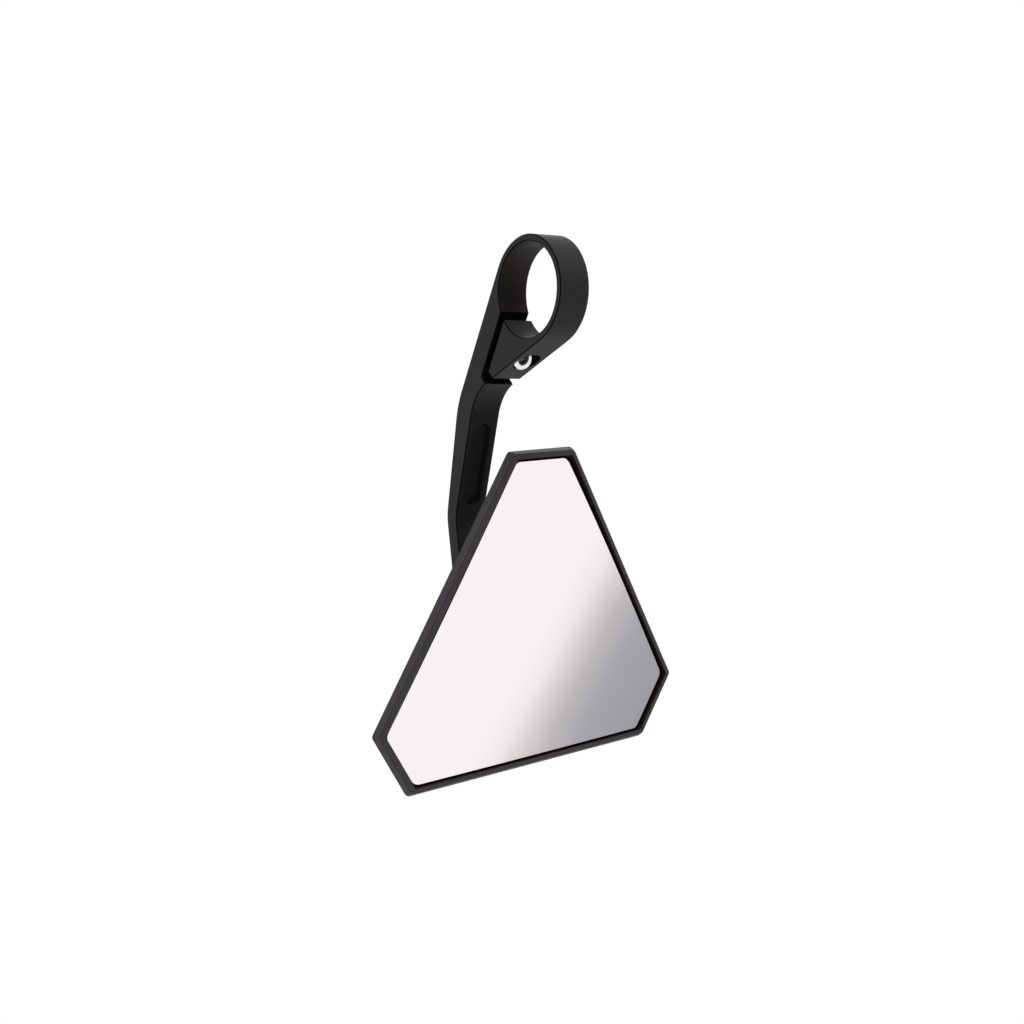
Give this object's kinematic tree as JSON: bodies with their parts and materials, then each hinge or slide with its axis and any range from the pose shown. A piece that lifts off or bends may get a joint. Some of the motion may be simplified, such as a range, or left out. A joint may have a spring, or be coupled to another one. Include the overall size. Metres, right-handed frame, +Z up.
{
  "type": "motorcycle mirror",
  "caption": "Bar-clamp motorcycle mirror: slit clamp ring and bent arm milled in one, with a six-sided convex mirror head on a friction ball joint",
  "frame": {"origin": "on the clamp bore's axis, at the middle of the arm's width", "axes": "+X along the bore, +Z up, the mirror faces -Y towards the rider"},
  "size_m": [0.1115, 0.0717, 0.2031],
  "materials": {
    "black_anodised": "satin",
    "stainless": "turned",
    "stud_steel": "satin",
    "spring_steel": "satin",
    "liner_plastic": "matt",
    "foam": "matt",
    "mirror_glass": "polished"
  },
  "bodies": {
    "arm": {"clamp_arm": "black_anodised", "clamp_screw": "stainless", "ball_stud": "stud_steel", "stud_washer": "stud_steel", "stud_nut": "stud_steel"},
    "front_cup": {"front_ball_cup": "liner_plastic"},
    "ball_seat": {"rear_ball_seat": "liner_plastic"},
    "mirror_head": {"mirror_housing": "black_anodised", "spring_washer": "spring_steel", "retaining_plate": "spring_steel", "retaining_screws": "stainless", "glass_seal": "foam", "mirror_glass": "mirror_glass"}
  },
  "joints": [
    {"name": "head_tilt", "type": "hinge", "parent": "arm", "child": "front_cup", "pos_m": [0, 0.0196, -0.12591], "axis": [-1, 0, 0], "range_deg": [-4.2, 15.8]},
    {"name": "head_swing", "type": "hinge", "parent": "front_cup", "child": "ball_seat", "pos_m": [0, 0.0196, -0.12591], "axis": [0, 0.0698, 0.9976], "range_deg": [-5.2, 38.8]},
    {"name": "head_spin", "type": "hinge", "parent": "ball_seat", "child": "mirror_head", "pos_m": [0, 0.0196, -0.12591], "axis": [-0.289, -0.955, 0.0668], "continuous": true}
  ]
}
